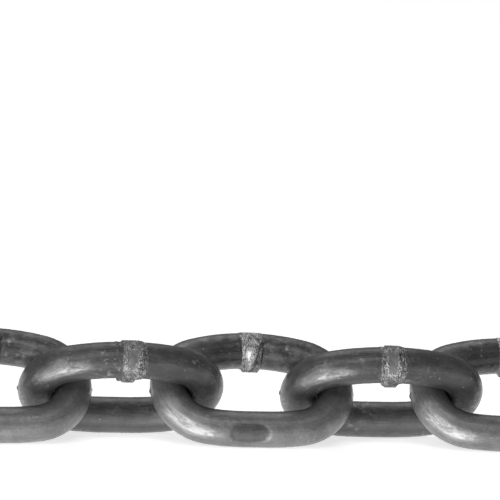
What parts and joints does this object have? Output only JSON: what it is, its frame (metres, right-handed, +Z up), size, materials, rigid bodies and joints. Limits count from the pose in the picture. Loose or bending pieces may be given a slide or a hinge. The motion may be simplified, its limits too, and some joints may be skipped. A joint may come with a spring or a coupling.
{
  "type": "welded steel chain length",
  "caption": "Straight-link welded steel chain, a short cut length of self-coloured bar whose links lean alternately left and right as it lies on a floor.",
  "frame": {"origin": "on the floor, below the middle of the centre link", "axes": "+X along the chain, +Z up, +Y towards the back"},
  "size_m": [0.3334, 0.028, 0.0276],
  "materials": {
    "self_coloured_steel": "satin"
  },
  "bodies": {
    "link_1": {"link_1": "self_coloured_steel"},
    "link_2": {"link_2": "self_coloured_steel"},
    "link_3": {"link_3": "self_coloured_steel"},
    "link_4": {"link_4": "self_coloured_steel"},
    "link_5": {"link_5": "self_coloured_steel"},
    "link_6": {"link_6": "self_coloured_steel"},
    "link_7": {"link_7": "self_coloured_steel"},
    "link_8": {"link_8": "self_coloured_steel"},
    "link_9": {"link_9": "self_coloured_steel"}
  },
  "joints": [
    {"name": "swing_4", "type": "hinge", "parent": "link_5", "child": "link_4", "pos_m": [-0.0224, 0, 0.01364], "axis": [0, 0.7071, 0.7071], "range_deg": [-90, 90]},
    {"name": "swing_3", "type": "hinge", "parent": "link_4", "child": "link_3", "pos_m": [-0.0573, 0, 0.01364], "axis": [0, -0.7071, 0.7071], "range_deg": [-90, 90]},
    {"name": "swing_2", "type": "hinge", "parent": "link_3", "child": "link_2", "pos_m": [-0.0922, 0, 0.01364], "axis": [0, -0.7071, -0.7071], "range_deg": [-90, 90]},
    {"name": "swing_1", "type": "hinge", "parent": "link_2", "child": "link_1", "pos_m": [-0.1271, 0, 0.01364], "axis": [0, 0.7071, -0.7071], "range_deg": [-90, 90]},
    {"name": "swing_6", "type": "hinge", "parent": "link_5", "child": "link_6", "pos_m": [0.0224, 0, 0.01364], "axis": [0, -0.7071, -0.7071], "range_deg": [-90, 90]},
    {"name": "swing_7", "type": "hinge", "parent": "link_6", "child": "link_7", "pos_m": [0.0573, 0, 0.01364], "axis": [0, 0.7071, -0.7071], "range_deg": [-90, 90]},
    {"name": "swing_8", "type": "hinge", "parent": "link_7", "child": "link_8", "pos_m": [0.0922, 0, 0.01364], "axis": [0, 0.7071, 0.7071], "range_deg": [-90, 90]},
    {"name": "swing_9", "type": "hinge", "parent": "link_8", "child": "link_9", "pos_m": [0.1271, 0, 0.01364], "axis": [0, -0.7071, 0.7071], "range_deg": [-90, 90]}
  ]
}
